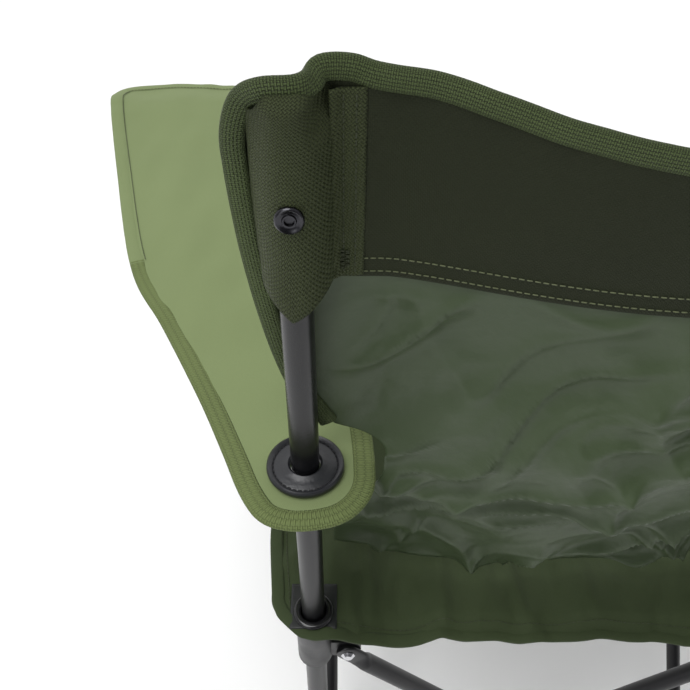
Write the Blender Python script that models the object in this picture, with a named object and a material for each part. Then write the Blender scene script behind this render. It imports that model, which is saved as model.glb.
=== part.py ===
"""Folding camp chair, open for use. Metres, +Z up, the sitter faces -Y and +X is the sitter's left.

Four feet stand on the corners of a square. A pair of crossed braces closes each side of it. Every
brace is hinged to a foot at its lower end and to a slider or a hub at its upper end, so the square
shrinks to a bundle while the sliders climb the rear posts.
"""

import math

import bmesh
import bpy
from mathutils import Matrix, Vector

MM = 0.001

# Overall sizes
CORNER_SPACING = 380 * MM  # between post axes, both ways
FOOT_PIVOT_Z = 28 * MM
POST_TOP_Z = 800 * MM
SEAT_TOP_Z = 425 * MM  # seat cloth at its corners
SLIDER_PIVOT_Z = SEAT_TOP_Z - 45 * MM
ARM_REAR_Z = 585 * MM  # top of the armrest cloth at the rear post
ARM_FRONT_Z = 604 * MM

# Tubes
POST_RADIUS = 8 * MM
BRACE_RADIUS = 6.75 * MM
TUBE_WALL = 1.0 * MM
TONGUE_THICK = 4.6 * MM  # a brace end pressed flat
TONGUE_WIDTH = 17 * MM
TONGUE_LENGTH = 10.5 * MM
NECK_LENGTH = 9 * MM
SLOT_GAP = 1.4 * MM  # left open between the pressed walls

# Joints between braces, feet, sliders and hubs
PIVOT_OFFSET = 24 * MM  # of a brace pivot from its corner's axis
GAP = 0.4 * MM
BRACE_GAP = 1.0 * MM  # between two crossed braces
RIVET_RADIUS = 2.5 * MM
RIVET_HOLE = 2.9 * MM
HEAD_RADIUS = 5.2 * MM
HEAD_HEIGHT = 2.0 * MM
EAR_RADIUS = 9.5 * MM
SLEEVE_WALL = 4 * MM
SLEEVE_BELOW = 13 * MM  # under the brace pivot
ARM_PIVOT_RISE = 18 * MM  # of an arm post's pivot over the brace pivot
ARM_SPLAY = math.radians(28.5)

# Feet
FOOT_RADIUS = 20 * MM
FOOT_PAD = 9 * MM
SOCKET_WALL = 4.5 * MM
SOCKET_TOP = 56 * MM
POST_BOTTOM = 7 * MM

# Cloth
CLOTH = 3 * MM
SEAT_OVERHANG = 30 * MM
SEAT_SAG = 42 * MM
SEAT_RIM_SAG = 0.22  # share of it that the middle of each edge sinks
SEAT_PULL = 0.10  # share by which the middle of each edge is drawn in
BACK_BOTTOM_Z = 436 * MM
BACK_EDGE = 24 * MM  # beyond a post's axis
BACK_BULGE = 34 * MM
BACK_TOP_SAG = 24 * MM
POCKET_SIDE = 8 * MM  # by which a post's pocket stands beyond the panel's edge
WAIST_INSET = 45 * MM  # of the panel's lower edges from the posts' axes
WAIST_BELOW = 10 * MM  # where they turn outwards, under the armrest
WAIST_LENGTH = 90 * MM
POCKET_FLARE = 0.04
POCKET_LENGTH = 108 * MM
POCKET_WALL = 3 * MM
SCREW_BELOW = 46 * MM  # a pocket's screw under the top of its post
ARM_NOSE = 72 * MM  # of an armrest past its post
EYELET_RADIUS = 21.5 * MM
EYELET_THICK = 3 * MM
GROMMET_RADIUS = 14 * MM
GROMMET_THICK = 3 * MM
ROUND = 16  # sides of a round piece
SMALL_ROUND = 8  # of a rivet or its hole

# Worked out
CORNER = CORNER_SPACING / 2
LAYER = BRACE_RADIUS + BRACE_GAP / 2  # a brace's plane to its corner's plane
EAR_HALF = LAYER - TONGUE_THICK / 2 - GAP
SLEEVE_BORE = POST_RADIUS + GAP
SLEEVE_RADIUS = SLEEVE_BORE + SLEEVE_WALL
HUB_RADIUS = SLEEVE_RADIUS * 0.86
EAR_START = SLEEVE_BORE + SLEEVE_WALL / 4
SLEEVE_TOP = SEAT_TOP_Z - CLOTH - GAP
ARM_PIVOT_Z = SLIDER_PIVOT_Z + ARM_PIVOT_RISE
ARM_LAYER = EAR_HALF + 6 * MM + GAP + POST_RADIUS  # in front of the hub's own plane
ARM_TOP_Z = ARM_FRONT_Z - CLOTH - GAP
ARM_TOP_OUT = (ARM_TOP_Z - ARM_PIVOT_Z) * math.tan(ARM_SPLAY)
ARM_TAIL = EYELET_RADIUS * 1.65  # of an armrest behind the rear post
MIDDLE_Y = (ARM_LAYER + ARM_NOSE - ARM_TAIL) / 2  # puts the origin under the middle of the whole chair

CORNERS = {
    "rear_left": (1, 1),
    "rear_right": (-1, 1),
    "front_left": (1, -1),
    "front_right": (-1, -1),
}
# side: (corner whose foot holds the inner brace, corner whose foot holds the outer one)
SIDES = {
    "rear": ("rear_left", "rear_right"),
    "left": ("rear_left", "front_left"),
    "right": ("rear_right", "front_right"),
    "front": ("front_left", "front_right"),
}


def clear_scene():
    for thing in list(bpy.data.objects):
        bpy.data.objects.remove(thing, do_unlink=True)


def material(name, colour, roughness, metallic=0.0):
    made = bpy.data.materials.get(name)
    if made:
        return made
    made = bpy.data.materials.new(name)
    made.use_nodes = True
    shader = made.node_tree.nodes["Principled BSDF"]
    shader.inputs["Base Color"].default_value = (*colour, 1.0)
    shader.inputs["Roughness"].default_value = roughness
    shader.inputs["Metallic"].default_value = metallic
    return made


def black_steel(name):
    return material(name, (0.018, 0.018, 0.02), 0.28, 0.6)


def black_plastic(name):
    return material(name, (0.02, 0.02, 0.022), 0.45)


def bright_steel(name):
    return material(name, (0.55, 0.55, 0.57), 0.3, 1.0)


def oxford_cloth(name):
    return material(name, (0.07, 0.105, 0.045), 0.85)


def finish(name, bm, mat, helper=False):
    """An object from a bmesh, its faces turned outwards."""
    bmesh.ops.recalc_face_normals(bm, faces=bm.faces[:])
    mesh = bpy.data.meshes.new(name)
    bm.to_mesh(mesh)
    bm.free()
    mesh.shade_smooth()
    mesh.set_sharp_from_angle(angle=math.radians(35))
    made = bpy.data.objects.new(name, mesh)
    bpy.context.scene.collection.objects.link(made)
    if mat:
        mesh.materials.append(mat)
    if helper:
        made.hide_render = True
        made.display_type = "WIRE"
    return made


def turned(along, centre):
    """The matrix that takes the Z axis to the direction `along`, and the origin to `centre`."""
    return Matrix.Translation(centre) @ Vector(along).to_track_quat("Z", "Y").to_matrix().to_4x4()


def add_cylinder(bm, radius, start, end, top_radius=None, segments=ROUND):
    start, end = Vector(start), Vector(end)
    bmesh.ops.create_cone(
        bm,
        cap_ends=True,
        segments=segments,
        radius1=radius,
        radius2=radius if top_radius is None else top_radius,
        depth=(end - start).length,
        matrix=turned(end - start, (start + end) / 2),
    )


def add_box(bm, low, high):
    low, high = Vector(low), Vector(high)
    size = Matrix.Diagonal((*(high - low), 1.0))
    bmesh.ops.create_cube(bm, size=1.0, matrix=Matrix.Translation((low + high) / 2) @ size)


def cylinder(name, radius, start, end, mat=None, helper=False, segments=ROUND):
    bm = bmesh.new()
    add_cylinder(bm, radius, start, end, segments=segments)
    return finish(name, bm, mat, helper)


def boolean(target, tools, operation):
    for count, tool in enumerate(tools):
        cut = target.modifiers.new(f"{operation.lower()}_{count}", "BOOLEAN")
        cut.operation = operation
        cut.solver = "EXACT"
        cut.object = tool
    return target


def block(name, shapes, cuts, mat):
    """The shapes joined in one body, less the cuts. Both are lists of (function, arguments)."""
    tools = []
    made = None
    for count, (maker, arguments) in enumerate(shapes):
        bm = bmesh.new()
        maker(bm, *arguments)
        if made is None:
            made = finish(name, bm, mat)
        else:
            tools.append(finish(f"{name}_add_{count}", bm, None, helper=True))
    boolean(made, tools, "UNION")
    tools = []
    for count, (maker, arguments) in enumerate(cuts):
        bm = bmesh.new()
        maker(bm, *arguments)
        tools.append(finish(f"{name}_cut_{count}", bm, None, helper=True))
    return boolean(made, tools, "DIFFERENCE")


def tube_rings(length, radius, flat_start, flat_end):
    """(place along the tube, half thickness, half width) of each ring, a flat end being a pressed one."""
    half_flat, half_wide = TONGUE_THICK / 2, TONGUE_WIDTH / 2
    rings = []
    if flat_start:
        rings += [(-half_wide, half_flat, half_wide * 0.6), (-half_wide * 0.4, half_flat, half_wide)]
        rings += [(TONGUE_LENGTH, half_flat, half_wide), (TONGUE_LENGTH + NECK_LENGTH, radius, radius)]
    else:
        rings += [(0.0, radius, radius)]
    if flat_end:
        pressed = tube_rings(length, radius, True, False)[:-1]
        rings += [(length - place, thick, wide) for place, thick, wide in reversed(pressed)]
    else:
        rings += [(length, radius, radius)]
    return rings


def tube(name, start, end, radius, normal, mat, flat_start=True, flat_end=True, segments=10):
    """A hollow tube from start to end. Its flat ends are pressed along `normal` and reach past both points."""
    start, end = Vector(start), Vector(end)
    along = (end - start).normalized()
    normal = Vector(normal).normalized()
    across = normal.cross(along)
    bm = bmesh.new()
    rings = tube_rings((end - start).length, radius, flat_start, flat_end)
    walls = {"outer": [], "inner": []}
    for wall, inset in (("outer", 0.0), ("inner", TUBE_WALL)):
        for place, thick, wide in rings:
            inner_thick = max(thick - inset, SLOT_GAP / 2)
            inner_wide = wide - inset
            ring = []
            for step in range(segments):
                turn = 2 * math.pi * (step + 0.5) / segments
                offset = normal * math.cos(turn) * inner_thick + across * math.sin(turn) * inner_wide
                ring.append(bm.verts.new(start + along * place + offset))
            walls[wall].append(ring)
    loop = walls["outer"] + walls["inner"][::-1]
    for first, second in zip(loop, loop[1:] + loop[:1]):
        for step in range(segments):
            bm.faces.new((first[step - 1], first[step], second[step], second[step - 1]))
    return finish(name, bm, mat)


def rivet(name, centre, axis, half_grip, ends, mat):
    """A rivet whose shank runs half_grip each way from the centre, with a domed head on each end."""
    centre, axis = Vector(centre), Vector(axis).normalized()
    start, end = centre - axis * half_grip, centre + axis * half_grip
    shapes = [(add_cylinder, (RIVET_RADIUS, start, end, None, SMALL_ROUND))]
    for way in ends:
        seat = centre + axis * way * (half_grip - GAP / 2)
        top = seat + axis * way * HEAD_HEIGHT
        shapes.append((add_cylinder, (HEAD_RADIUS, seat, top, HEAD_RADIUS * 0.6, SMALL_ROUND)))
    return block(name, shapes, [], mat)


def corner_point(corner, x=0.0, y=0.0, z=0.0):
    """A point whose x and y are measured from a corner's axis towards the middle of the chair."""
    across, back = CORNERS[corner]
    return Vector((across * (CORNER - x), back * (CORNER - y), z))


def side_is_x(side):
    return side in ("rear", "front")


def pivot_point(side, corner, height, inward):
    """A brace pivot in the brace's own plane."""
    if side_is_x(side):
        return corner_point(corner, PIVOT_OFFSET, inward, height)
    return corner_point(corner, inward, PIVOT_OFFSET, height)


def add_ear(bm, corner, pivot_z, x_way):
    """A plate from inside a corner's sleeve to round its brace pivot."""
    turns = [math.pi * (step / 6 - 0.5) for step in range(7)]
    outline = [(EAR_START, -EAR_RADIUS)]
    outline += [(PIVOT_OFFSET + EAR_RADIUS * math.cos(turn), EAR_RADIUS * math.sin(turn)) for turn in turns]
    outline.append((EAR_START, EAR_RADIUS))
    plates = []
    for side in (-EAR_HALF, EAR_HALF):
        plate = []
        for reach, rise in outline:
            x, y = (reach, side) if x_way else (side, reach)
            plate.append(bm.verts.new(corner_point(corner, x, y, pivot_z + rise)))
        bm.faces.new(plate)
        plates.append(plate)
    for step in range(len(outline)):
        near, far = plates
        bm.faces.new((near[step - 1], near[step], far[step], far[step - 1]))


def ear_shapes(corner, pivot_z):
    return [(add_ear, (corner, pivot_z, True)), (add_ear, (corner, pivot_z, False))]


def ear_holes(corner, pivot_z):
    holes = []
    reach = 2 * EAR_HALF
    for x, y, way in ((PIVOT_OFFSET, 0.0, (0, 1)), (0.0, PIVOT_OFFSET, (1, 0))):
        start = corner_point(corner, x - way[0] * reach, y - way[1] * reach, pivot_z)
        end = corner_point(corner, x + way[0] * reach, y + way[1] * reach, pivot_z)
        holes.append((add_cylinder, (RIVET_HOLE, start, end, None, SMALL_ROUND)))
    return holes


def make_foot(corner):
    has_post = corner.startswith("rear")
    socket = POST_RADIUS + GAP + SOCKET_WALL
    axis = corner_point(corner)
    up = Vector((0, 0, 1))
    shapes = [(add_cylinder, (FOOT_RADIUS, axis, axis + up * FOOT_PAD, FOOT_RADIUS * 0.86))]
    top = SOCKET_TOP if has_post else FOOT_PIVOT_Z + EAR_RADIUS + SLEEVE_WALL
    shapes.append((add_cylinder, (socket, axis + up * FOOT_PAD / 2, axis + up * top, socket * 0.94)))
    shapes += ear_shapes(corner, FOOT_PIVOT_Z)
    cuts = ear_holes(corner, FOOT_PIVOT_Z)
    if has_post:
        cuts.append((add_cylinder, (POST_RADIUS + GAP, axis + up * POST_BOTTOM, axis + up * SOCKET_TOP * 1.2)))
    return block(f"foot_{corner}", shapes, cuts, black_plastic("foot_plastic"))


def make_slider(corner):
    axis = corner_point(corner)
    up = Vector((0, 0, 1))
    low = SLIDER_PIVOT_Z - SLEEVE_BELOW
    shapes = [(add_cylinder, (SLEEVE_RADIUS, axis + up * low, axis + up * SLEEVE_TOP))]
    shapes += ear_shapes(corner, SLIDER_PIVOT_Z)
    cuts = ear_holes(corner, SLIDER_PIVOT_Z)
    cuts.append((add_cylinder, (SLEEVE_BORE, axis + up * (low - FOOT_PAD), axis + up * (SLEEVE_TOP + FOOT_PAD))))
    return block(f"slider_{corner}", shapes, cuts, black_plastic("slider_plastic"))


def arm_pivot(corner):
    return corner_point(corner, 0.0, -ARM_LAYER, ARM_PIVOT_Z)


def make_hub(corner):
    """A front hub: a solid slider, with a boss in front of it for the arm post."""
    axis = corner_point(corner)
    up = Vector((0, 0, 1))
    low = SLIDER_PIVOT_Z - SLEEVE_BELOW
    boss_front = corner_point(corner, 0.0, -(ARM_LAYER - TONGUE_THICK / 2 - GAP), ARM_PIVOT_Z)
    shapes = [(add_cylinder, (HUB_RADIUS, axis + up * low, axis + up * SLEEVE_TOP))]
    shapes += ear_shapes(corner, SLIDER_PIVOT_Z)
    shapes.append((add_cylinder, (EAR_RADIUS, corner_point(corner, 0.0, 0.0, ARM_PIVOT_Z), boss_front)))
    cuts = ear_holes(corner, SLIDER_PIVOT_Z)
    deep = corner_point(corner, 0.0, SLEEVE_RADIUS * 1.5, ARM_PIVOT_Z)
    cuts.append((add_cylinder, (RIVET_HOLE, deep, boss_front + (boss_front - deep) * 0.2, None, SMALL_ROUND)))
    return block(f"hub_{corner}", shapes, cuts, black_plastic("slider_plastic"))


def drill(target, points, axis, reach):
    tools = []
    for count, point in enumerate(points):
        start, end = Vector(point) - Vector(axis) * reach, Vector(point) + Vector(axis) * reach
        name = f"{target.name}_drill_{count}"
        tools.append(cylinder(name, RIVET_HOLE, start, end, helper=True, segments=SMALL_ROUND))
    return boolean(target, tools, "DIFFERENCE")


def make_side(side):
    """Two crossed braces and the five rivets that hold them."""
    first, second = SIDES[side]
    axis = Vector((0, 1, 0)) if side_is_x(side) else Vector((1, 0, 0))
    for layer, foot, top, inward in (
        ("inner", first, second, LAYER),
        ("outer", second, first, -LAYER),
    ):
        start = pivot_point(side, foot, FOOT_PIVOT_Z, inward)
        end = pivot_point(side, top, SLIDER_PIVOT_Z, inward)
        brace = tube(f"brace_{side}_{layer}", start, end, BRACE_RADIUS, axis, black_steel("brace_steel"))
        drill(brace, (start, (start + end) / 2, end), axis, 2 * BRACE_RADIUS)
        for end_name, corner, height in (("foot", foot, FOOT_PIVOT_Z), ("top", top, SLIDER_PIVOT_Z)):
            ear_far, tongue_far = EAR_HALF, LAYER + TONGUE_THICK / 2
            middle = (tongue_far - ear_far) / 2 * (1 if inward > 0 else -1)
            centre = pivot_point(side, corner, height, middle)
            half = (ear_far + tongue_far) / 2 + GAP
            rivet(f"rivet_{side}_{layer}_{end_name}", centre, axis, half, (-1, 1), bright_steel("rivet_steel"))
    centre = (pivot_point(side, first, 0, 0) + pivot_point(side, second, 0, 0)) / 2
    centre.z = (FOOT_PIVOT_Z + SLIDER_PIVOT_Z) / 2
    rivet(f"rivet_{side}_cross", centre, axis, LAYER + BRACE_RADIUS + GAP, (-1, 1), bright_steel("rivet_steel"))


def make_post(corner):
    axis = corner_point(corner)
    start, end = axis.copy(), axis.copy()
    start.z, end.z = POST_BOTTOM + GAP, POST_TOP_Z
    steel = black_steel("post_steel")
    tube(f"post_{corner}", start, end, POST_RADIUS, (0, 1, 0), steel, False, False, ROUND)


def arm_top(corner):
    across = CORNERS[corner][0]
    top = arm_pivot(corner)
    top.x += across * ARM_TOP_OUT
    top.z = ARM_TOP_Z
    return top


def make_arm_post(corner):
    side = corner.split("_")[1]
    start, end = arm_pivot(corner), arm_top(corner)
    lean = (end - start).normalized()
    end -= lean * POST_RADIUS * math.tan(ARM_SPLAY)  # keeps the slanted rim under the cloth
    steel = black_steel("post_steel")
    post = tube(f"arm_post_{side}", start, end, POST_RADIUS, (0, 1, 0), steel, True, False, ROUND)
    drill(post, (start,), (0, 1, 0), 2 * POST_RADIUS)
    far = HUB_RADIUS
    near = ARM_LAYER + TONGUE_THICK / 2
    centre = corner_point(corner, 0.0, (far - near) / 2, ARM_PIVOT_Z)
    rivet(f"rivet_arm_{side}", centre, (0, 1, 0), (far + near) / 2 + GAP, (-1, 1), bright_steel("rivet_steel"))


def seat_height(x, y):
    """Top of the seat cloth: level round the corners and slung lower in the middle."""
    level = CORNER - 2 * SLEEVE_RADIUS
    across = max(0.0, 1 - (x / level) ** 2)
    along = max(0.0, 1 - (y / level) ** 2)
    return SEAT_TOP_Z - SEAT_SAG * (across * along + SEAT_RIM_SAG * max(across * (1 - along), along * (1 - across)))


def sheet(name, columns, rows, place, thick, mat):
    """A closed cloth of the points place(u, v), u and v from -1 to 1, with its thickness under or behind it."""
    bm = bmesh.new()
    bmesh.ops.create_grid(bm, x_segments=columns, y_segments=rows, size=1.0)
    for vertex in bm.verts:
        vertex.co = place(vertex.co.x, vertex.co.y)
    bmesh.ops.recalc_face_normals(bm, faces=bm.faces[:])
    if sum(face.normal.z + face.normal.y for face in bm.faces) < 0:
        bmesh.ops.reverse_faces(bm, faces=bm.faces[:])
    mesh = bpy.data.meshes.new(name)
    bm.to_mesh(mesh)
    bm.free()
    mesh.shade_smooth()
    mesh.materials.append(mat)
    made = bpy.data.objects.new(name, mesh)
    bpy.context.scene.collection.objects.link(made)
    solid = made.modifiers.new("thickness", "SOLIDIFY")
    solid.thickness = thick
    solid.offset = -1.0
    return made


def make_seat():
    half = CORNER + SEAT_OVERHANG

    def place(u, v):
        x, y = u * half, v * half
        y *= 1 - SEAT_PULL * (1 - u * u) * abs(v) ** 3
        x *= 1 - SEAT_PULL * (1 - v * v) * abs(u) ** 3
        return Vector((x, y, seat_height(x, y)))

    cloth = sheet("seat_cloth", 10, 10, place, CLOTH, oxford_cloth("seat_oxford"))
    up = Vector((0, 0, 1))
    tools = []
    for corner in CORNERS:
        if corner.startswith("rear"):
            point, radius = corner_point(corner), SLEEVE_BORE
        else:
            point, radius = seat_arm_point(corner), arm_hole_radius()
        low, high = point + up * SEAT_TOP_Z * 0.8, point + up * SEAT_TOP_Z * 1.2
        tools.append(cylinder(f"seat_hole_{corner}", radius, low, high, helper=True))
    boolean(cloth, tools, "DIFFERENCE")


def seat_arm_point(corner):
    """Where an arm post crosses the seat cloth."""
    point = arm_pivot(corner)
    middle = SEAT_TOP_Z - CLOTH / 2 + GROMMET_THICK / 2
    point.x += CORNERS[corner][0] * (middle - ARM_PIVOT_Z) * math.tan(ARM_SPLAY)
    point.z = 0.0
    return point


def arm_hole_radius():
    slant = (CLOTH + GROMMET_THICK + GAP) / 2 * math.tan(ARM_SPLAY)
    return POST_RADIUS / math.cos(ARM_SPLAY) + slant + GAP


def ring(name, centre, bore, radius, low, high, mat):
    up = Vector((0, 0, 1))
    shapes = [(add_cylinder, (radius, centre + up * low, centre + up * high))]
    cuts = [(add_cylinder, (bore, centre + up * (low - radius), centre + up * (high + radius)))]
    return block(name, shapes, cuts, mat)


def make_grommets():
    plastic = black_plastic("grommet_plastic")
    for corner in CORNERS:
        if corner.startswith("rear"):
            point, bore = corner_point(corner), SLEEVE_BORE
            radius = GROMMET_RADIUS
        else:
            point, bore = seat_arm_point(corner), arm_hole_radius()
            radius = bore + GROMMET_RADIUS - SLEEVE_BORE
        low = SEAT_TOP_Z + GAP
        ring(f"seat_grommet_{corner}", point, bore, radius, low, low + GROMMET_THICK, plastic)


def back_half_width(height):
    """Half the back panel's width: inside the armrests below, and past the posts above them."""
    share = min(1.0, max(0.0, (height - ARM_REAR_Z + WAIST_BELOW) / WAIST_LENGTH))
    ease = share * share * (3 - 2 * share)
    flare = (POCKET_FLARE * (height - ARM_REAR_Z)) if height > ARM_REAR_Z else 0.0
    return CORNER - WAIST_INSET + (WAIST_INSET + BACK_EDGE - POCKET_SIDE) * ease + flare


def make_back():
    """The back panel lies in front of the posts, with a pocket over the top of each."""
    top = POST_TOP_Z + CLOTH + GAP
    front_of_post = CORNER - POST_RADIUS - 2 * GAP

    def place(u, v):
        height = BACK_BOTTOM_Z + (top - BACK_BOTTOM_Z) * (v + 1) / 2
        x = u * back_half_width(height)
        middle = max(0.0, 1 - (x / (CORNER - 5 * POST_RADIUS)) ** 2)
        height -= BACK_TOP_SAG * middle * ((v + 1) / 2) ** 4
        return Vector((x, front_of_post + BACK_BULGE * middle, height))

    cloth = sheet("back_cloth", 18, 9, place, CLOTH, oxford_cloth("back_oxford"))
    pockets, bores = [], []
    up = Vector((0, 0, 1))
    for corner in ("rear_left", "rear_right"):
        axis = corner_point(corner)
        low = POST_TOP_Z - POCKET_LENGTH
        bore = POST_RADIUS + GAP
        start, end = axis + up * low, axis + up * top
        pockets.append(cylinder(f"pocket_{corner}", bore + POCKET_WALL, start, end, helper=True))
        start, end = axis + up * (low - CLOTH), axis + up * (POST_TOP_Z + GAP)
        bores.append(cylinder(f"pocket_bore_{corner}", bore, start, end, helper=True))
    boolean(cloth, pockets, "UNION")
    boolean(cloth, bores, "DIFFERENCE")
    for corner in ("rear_left", "rear_right"):
        side = corner.split("_")[1]
        seat = corner_point(corner, 0.0, -(POST_RADIUS + GAP + POCKET_WALL + GAP), POST_TOP_Z - SCREW_BELOW)
        bm = bmesh.new()
        add_cylinder(bm, HEAD_RADIUS * 1.25, seat, seat + Vector((0, 1, 0)) * HEAD_HEIGHT, HEAD_RADIUS)
        finish(f"pocket_screw_{side}", bm, bright_steel("rivet_steel"))


def arm_outline():
    """(along, inner edge, outer edge) of an armrest, measured forwards and outwards from the rear post."""
    front = CORNER_SPACING + ARM_LAYER
    return [
        (-ARM_TAIL, -EYELET_RADIUS * 0.75, EYELET_RADIUS * 0.75),
        (-EYELET_RADIUS * 1.1, -EYELET_RADIUS * 1.5, EYELET_RADIUS * 1.5),
        (0.0, -EYELET_RADIUS * 1.65, EYELET_RADIUS * 1.8),
        (front * 0.18, -EYELET_RADIUS * 1.1, EYELET_RADIUS * 3.4),
        (front * 0.4, -EYELET_RADIUS * 0.2, ARM_TOP_OUT + 14 * MM),
        (front * 0.75, ARM_TOP_OUT * 0.3, ARM_TOP_OUT + 58 * MM),
        (front, ARM_TOP_OUT * 0.46, ARM_TOP_OUT + 84 * MM),
        (front + ARM_NOSE * 0.67, ARM_TOP_OUT * 0.55, ARM_TOP_OUT + 90 * MM),
        (front + ARM_NOSE, ARM_TOP_OUT * 0.8, ARM_TOP_OUT + 62 * MM),
    ]


def make_armrest(corner):
    side = corner.split("_")[1]
    across = CORNERS[corner][0]
    rear = corner_point(f"rear_{side}")
    outline = arm_outline()
    slope = (ARM_FRONT_Z - ARM_REAR_Z) / (CORNER_SPACING + ARM_LAYER)
    bm = bmesh.new()
    stations = []
    for along, inner, outer in outline:
        height = ARM_REAR_Z + slope * along
        stations.append(
            [
                bm.verts.new((rear.x + across * (inner + (outer - inner) * step / 4), rear.y - along, height))
                for step in range(5)
            ]
        )
    for first, second in zip(stations, stations[1:]):
        for step in range(4):
            bm.faces.new((first[step], first[step + 1], second[step + 1], second[step]))
    bmesh.ops.recalc_face_normals(bm, faces=bm.faces[:])
    if sum(face.normal.z for face in bm.faces) < 0:
        bmesh.ops.reverse_faces(bm, faces=bm.faces[:])
    bmesh.ops.solidify(bm, geom=bm.faces[:], thickness=CLOTH)
    cloth = finish(f"arm_cloth_{side}", bm, oxford_cloth("arm_oxford"))
    up = Vector((0, 0, 1))
    start, end = rear + up * ARM_REAR_Z * 0.9, rear + up * ARM_REAR_Z * 1.1
    hole = cylinder(f"arm_hole_{side}", SLEEVE_BORE, start, end, helper=True)
    boolean(cloth, [hole], "DIFFERENCE")
    low = ARM_REAR_Z + slope * EYELET_RADIUS + GAP
    plastic = black_plastic("eyelet_plastic")
    ring(f"arm_eyelet_{side}", rear, SLEEVE_BORE, EYELET_RADIUS, low, low + EYELET_THICK, plastic)


def main():
    clear_scene()
    for corner in CORNERS:
        make_foot(corner)
        if corner.startswith("rear"):
            make_post(corner)
            make_slider(corner)
        else:
            make_hub(corner)
            make_arm_post(corner)
            make_armrest(corner)
    for side in SIDES:
        make_side(side)
    make_seat()
    make_grommets()
    make_back()
    chair = bpy.data.objects.new("chair", None)
    bpy.context.scene.collection.objects.link(chair)
    chair.location.y = MIDDLE_Y
    for piece in list(bpy.data.objects):
        if piece is not chair:
            piece.parent = chair


main()
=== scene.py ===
import math

import bmesh
import bpy
from mathutils import Matrix, Vector, noise


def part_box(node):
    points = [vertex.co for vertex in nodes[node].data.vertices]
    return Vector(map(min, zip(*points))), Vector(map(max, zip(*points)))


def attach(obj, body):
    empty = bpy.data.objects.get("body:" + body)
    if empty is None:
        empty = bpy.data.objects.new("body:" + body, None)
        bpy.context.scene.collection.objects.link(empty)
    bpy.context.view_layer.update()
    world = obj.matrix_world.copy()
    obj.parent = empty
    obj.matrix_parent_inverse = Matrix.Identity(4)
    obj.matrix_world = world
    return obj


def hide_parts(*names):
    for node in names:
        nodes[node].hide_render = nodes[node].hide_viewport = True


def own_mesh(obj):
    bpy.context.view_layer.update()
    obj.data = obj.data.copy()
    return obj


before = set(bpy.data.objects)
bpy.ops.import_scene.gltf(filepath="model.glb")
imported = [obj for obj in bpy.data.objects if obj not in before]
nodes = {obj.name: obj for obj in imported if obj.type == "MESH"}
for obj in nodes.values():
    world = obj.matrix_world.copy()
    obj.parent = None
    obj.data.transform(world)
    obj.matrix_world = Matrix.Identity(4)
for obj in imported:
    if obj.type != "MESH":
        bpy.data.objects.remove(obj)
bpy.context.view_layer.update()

postLow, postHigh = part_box("post_rear_left")
postX = (postLow.x + postHigh.x) / 2
postY = (postLow.y + postHigh.y) / 2
postRadius = (postHigh.x - postLow.x) / 2


def smoothLine(points, closed=False, steps=10):
    # a Catmull-Rom curve through the points
    spots = [Vector(p) for p in points]
    count = len(spots)
    line = []
    for i in range(count if closed else count - 1):
        a = spots[(i - 1) % count] if closed else spots[max(i - 1, 0)]
        b = spots[i]
        c = spots[(i + 1) % count]
        d = spots[(i + 2) % count] if closed else spots[min(i + 2, count - 1)]
        for k in range(steps):
            t = k / steps
            bend = (2 * a - 5 * b + 4 * c - d) * t * t
            twist = (3 * b - a - 3 * c + d) * t**3
            line.append((2 * b + (c - a) * t + bend + twist) / 2)
    line.append(spots[0].copy() if closed else spots[-1].copy())
    return line


class Rail:
    # a smooth line read by its share of length
    def __init__(self, points, closed=False):
        self.line = smoothLine(points, closed)
        self.marks = [0.0]
        for a, b in zip(self.line, self.line[1:]):
            self.marks.append(self.marks[-1] + (b - a).length)
        self.length = self.marks[-1]

    def at(self, share):
        want = min(max(share, 0.0), 1.0) * self.length
        low, high = 0, len(self.marks) - 1
        while high - low > 1:
            middle = (low + high) // 2
            if self.marks[middle] <= want:
                low = middle
            else:
                high = middle
        span = self.marks[high] - self.marks[low]
        part = (want - self.marks[low]) / span if span else 0.0
        return self.line[low].lerp(self.line[high], part)

    def heading(self, share):
        step = 0.004
        return (self.at(share + step) - self.at(share - step)).normalized()


def ease(value):
    value = min(max(value, 0.0), 1.0)
    return value * value * (3 - 2 * value)


def formed(name, columns, rows, place, cut, material, body, thick=0.0, weld=False, hole=None):
    # a grid bent by place(u, v), both from -1 to 1, with its UV map in metres of the flat cut
    bm = bmesh.new()
    uvLayer = bm.loops.layers.uv.new("UVMap")
    bmesh.ops.create_grid(bm, x_segments=columns, y_segments=rows, size=1.0)
    for face in bm.faces:
        for loop in face.loops:
            loop[uvLayer].uv = (loop.vert.co.x * cut[0] / 2, loop.vert.co.y * cut[1] / 2)
    for vert in bm.verts:
        vert.co = place(vert.co.x, vert.co.y)
    if weld:
        bmesh.ops.remove_doubles(bm, verts=bm.verts[:], dist=1e-6)
    if hole:
        gone = [f for f in bm.faces if any((f.calc_center_median() - c).xy.length < r for c, r in hole)]
        bmesh.ops.delete(bm, geom=gone, context="FACES")
    if weld:
        bmesh.ops.recalc_face_normals(bm, faces=bm.faces[:])
    made = finished(name, bm, material, body)
    if thick:
        solid = made.modifiers.new("thickness", "SOLIDIFY")
        solid.thickness = thick
        solid.offset = 0.0
    return made


def finished(name, bm, material, body, sharp=None):
    mesh = bpy.data.meshes.new(name)
    bm.to_mesh(mesh)
    bm.free()
    mesh.shade_smooth()
    if sharp:
        mesh.set_sharp_from_angle(angle=math.radians(sharp))
    made = bpy.data.objects.new(name, mesh)
    bpy.context.scene.collection.objects.link(made)
    mesh.materials.append(material)
    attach(made, body)
    return made


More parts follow.
